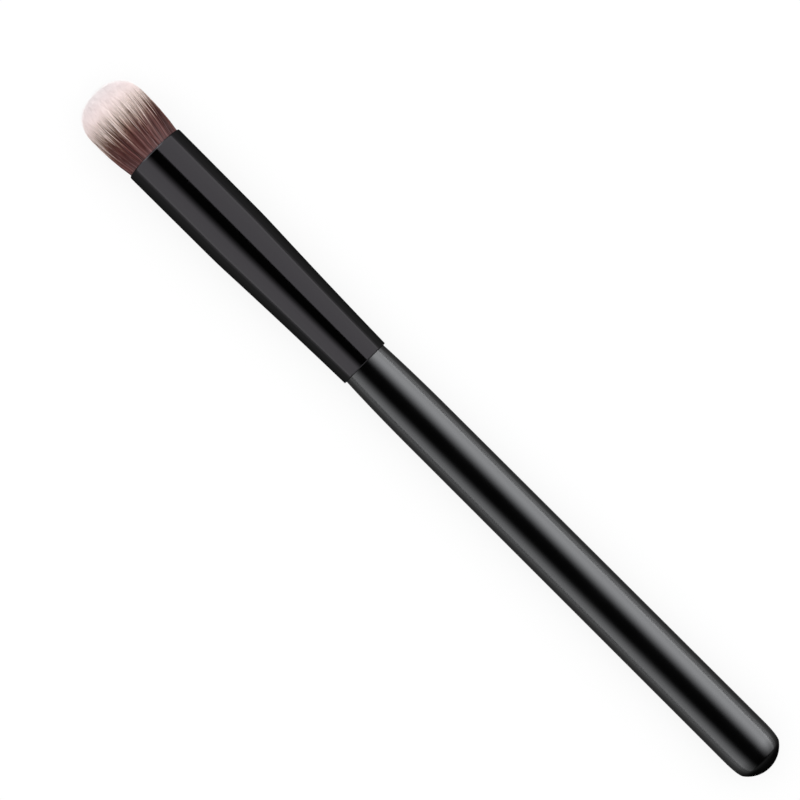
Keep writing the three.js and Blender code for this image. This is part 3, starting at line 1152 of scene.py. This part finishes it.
@dataclass(frozen=True)
class Studio:
    """Pale floor, soft lamps round the brush and the photograph's camera.

    A small card stands low beside the handle and softens the outer edge of its brighter band.
    """

    floor_colour: str = "#c9c9c9"
    floor_glow: float = 0.85
    floor_reach: float = 4.0
    horizon: Stop = (0.05, "#f4f4f4")
    zenith: Stop = (0.18, "#050505")
    frame_pixels: int = 800
    butt_pixel: Point = (769.9, 767.4)
    tip_pixel: Point = (93.8, 92.8)
    lens: float = 150.0
    sensor: float = 36.0
    softboxes: tuple[Softbox, ...] = (
        Softbox(
            "overhead", Lit.TUFT_AND_FLOOR, Bearing.UPPER_RIGHT,
            lower=58.0, upper=-52.0, distance=1.0, aim_x=0.2, width=2.8, radiance=2.5,
        ),
        Softbox(
            "tuft_front", Lit.TUFT_AND_FLOOR, Bearing.AHEAD,
            lower=85.0, upper=45.0, distance=0.8, aim_x=0.08, width=1.2, radiance=0.8,
        ),
        Softbox(
            "ferrule_right", Lit.FERRULE, Bearing.UPPER_RIGHT,
            lower=88.0, upper=17.0, distance=0.36, aim_x=0.57, width=1.26, radiance=2.6,
            glow=((0.0, 0.6), (0.13, 0.84), (0.27, 0.95), (0.45, 1.0), (1.0, 1.0)),
        ),
        Softbox(
            "ferrule_left", Lit.FERRULE, Bearing.LOWER_LEFT,
            lower=88.0, upper=13.0, distance=0.36, aim_x=0.57, width=1.26, radiance=2.6,
            glow=(
                (0.0, 0.6), (0.13, 0.84), (0.27, 0.95), (0.45, 1.0), (0.61, 1.0), (0.69, 0.83), (0.78, 0.49),
                (0.88, 0.17), (1.0, 0.0),
            ),
        ),
        Softbox(
            "ferrule_lip", Lit.FERRULE, Bearing.AHEAD,
            lower=85.0, upper=20.0, distance=0.36, aim_x=0.066, width=0.6, radiance=3.0,
        ),
        Softbox(
            "ferrule_rear", Lit.FERRULE, Bearing.BEHIND,
            lower=85.0, upper=20.0, distance=0.6, aim_x=0.04, width=2.4, radiance=2.2, glow=FADING_UP,
        ),
        Softbox(
            "handle_front", Lit.HANDLE, Bearing.AHEAD,
            lower=88.0, upper=50.0, distance=0.5, aim_x=0.05, width=1.6, radiance=2.0, glow=FADING_UP,
        ),
        Softbox(
            "handle_rear", Lit.HANDLE, Bearing.BEHIND,
            lower=88.0, upper=60.0, distance=0.5, aim_x=-0.05, width=1.6, radiance=1.2, glow=FADING_UP,
        ),
        Softbox(
            "handle_card", Lit.HANDLE, Bearing.UPPER_RIGHT,
            lower=100.0, upper=76.0, distance=0.0135, aim_x=-0.03, width=0.12, radiance=1.1,
            glow=((0.0, 0.45), (0.6, 0.62), (1.0, 1.0)),
        ),
        Softbox(
            "handle_right", Lit.HANDLE, Bearing.UPPER_RIGHT,
            lower=89.0, upper=14.0, distance=0.36, aim_x=-0.1, width=0.8, radiance=11.6,
            glow=(
                (0.0, 0.8), (0.08, 0.86), (0.16, 0.88), (0.29, 0.95), (0.4, 1.0), (0.51, 0.9), (0.61, 0.67),
                (0.72, 0.42), (0.83, 0.19), (0.95, 0.05), (1.0, 0.0),
            ),
        ),
        Softbox(
            "handle_left", Lit.HANDLE, Bearing.LOWER_LEFT,
            lower=89.0, upper=34.0, distance=0.36, aim_x=-0.1, width=0.8, radiance=6.0,
            glow=(
                (0.0, 0.82), (0.1, 0.89), (0.2, 0.91), (0.36, 0.84), (0.53, 0.57), (0.68, 0.31), (0.84, 0.11),
                (1.0, 0.0),
            ),
        ),
    )

    def lay_floor(self) -> Object:
        """Lays the floor, pale by its own colour and by a glow that the brush's shadow still dims.

        Returns:
            The floor.
        """
        reach = self.floor_reach
        mesh = bpy.data.meshes.new("pale_floor")
        corners = [(-reach, -reach, 0.0), (reach, -reach, 0.0), (reach, reach, 0.0), (-reach, reach, 0.0)]
        mesh.from_pydata(corners, [], [(0, 1, 2, 3)])
        material, tree, shader = new_material("matt_white_paper")
        add = partial(add_node, tree)
        set_inputs(shader, {
            "Base Color": linear(self.floor_colour),
            "Roughness": 1.0,
            "Specular IOR Level": 0.0,
        })
        path = add("ShaderNodeLightPath").outputs
        seen = path["Is Camera Ray"]
        for ray in ("Is Glossy Ray", "Is Transmission Ray"):
            seen = add(MATH, {0: seen, 1: path[ray]}, operation="MAXIMUM")
        share = add(MATH, {0: seen, 1: self.floor_glow}, operation="MULTIPLY")
        glow = add("ShaderNodeEmission")
        paper = add("ShaderNodeMixShader", {0: share, 1: shader, 2: glow})
        set_inputs(tree.nodes["Material Output"], {"Surface": paper})
        mesh.materials.append(material)
        floor = add_object("pale_floor", mesh)
        return floor

    def light_world(self) -> None:
        """Makes the room pale at the horizon and dark overhead, so that black gloss stays black."""
        world = bpy.data.worlds.new("studio_room")
        bpy.context.scene.world = world
        world.use_nodes = True
        tree = world.node_tree
        heading = add_node(tree, "ShaderNodeTexCoord").outputs["Generated"]
        height = add_node(tree, "ShaderNodeSeparateXYZ", {"Vector": heading}).outputs["Z"]
        ramp = add_node(tree, "ShaderNodeValToRGB", {"Fac": height})
        shape_ramp(ramp, (self.horizon, self.zenith))
        set_inputs(tree.nodes["Background"], {"Color": ramp})

    def place_camera(self, axis: BrushAxis, length: float) -> None:
        """Hangs the camera over the brush, where the butt and the tip fall on the photograph's pixels.

        Args:
            axis: The axis of the brush.
            length: Length of the brush in millimetres.
        """
        butt, tip = axis.point(0.0), axis.point(length)
        butt_pixel, tip_pixel = Vector(self.butt_pixel), Vector(self.tip_pixel)
        pixel_run = tip_pixel - butt_pixel
        run = tip - butt
        pixel = run.xy.length / pixel_run.length
        roll = math.atan2(run.y, run.x) - math.atan2(-pixel_run.y, pixel_run.x)
        right = Vector((math.cos(roll), math.sin(roll), 0.0))
        up = Vector((-math.sin(roll), math.cos(roll), 0.0))
        offset = Vector((self.frame_pixels, self.frame_pixels)) / 2 - (butt_pixel + tip_pixel) / 2
        target = (butt + tip) / 2 + right * (offset.x * pixel) - up * (offset.y * pixel)
        data = bpy.data.cameras.new("photo_camera")
        data.lens = self.lens
        data.sensor_width = self.sensor
        camera = add_object("photo_camera", data)
        camera.location = target + Vector((0.0, 0.0, self.frame_pixels * pixel * self.lens / self.sensor))
        camera.rotation_euler = (0.0, 0.0, roll)
        bpy.context.scene.camera = camera

    def build(self, axis: BrushAxis, length: float, pieces: dict[Lit, list[Object]]) -> None:
        """Sets up the floor, the room, the camera and the lamps.

        Args:
            axis: The axis of the brush.
            length: Length of the brush in millimetres.
            pieces: The pieces of the brush by the lamps that light them.
        """
        lit = {kind: bpy.data.collections.new(kind.value) for kind in Lit}
        lit[Lit.TUFT_AND_FLOOR].objects.link(self.lay_floor())
        for kind, group in pieces.items():
            for piece in group:
                lit[kind].objects.link(piece)
        self.light_world()
        self.place_camera(axis, length)
        for softbox in self.softboxes:
            softbox.build(axis.point(length / 2).z, lit[softbox.lit])
        bpy.context.scene.view_settings.view_transform = "Standard"


def main() -> None:
    """Builds the brush from the butt to the tip, logs how many faces each piece has, then builds the studio.
    """
    logging.basicConfig(level=logging.INFO)
    axis = BrushAxis(frame["record"])
    ferrule = Ferrule()
    tuft = BristleTuft(ferrule)
    pieces = {
        Lit.HANDLE: [Handle(ferrule).build(axis)],
        Lit.FERRULE: [ferrule.build(axis)],
        Lit.TUFT_AND_FLOOR: [*tuft.build(axis), *(joint.dress() for joint in HiddenJoint)],
    }
    for group in pieces.values():
        for piece in group:
            log.info("%s: %d faces", piece.name, len(piece.data.polygons))
    Studio().build(axis, ferrule.mouth_station + tuft.length, pieces)


if __name__ == "__main__":
    main()
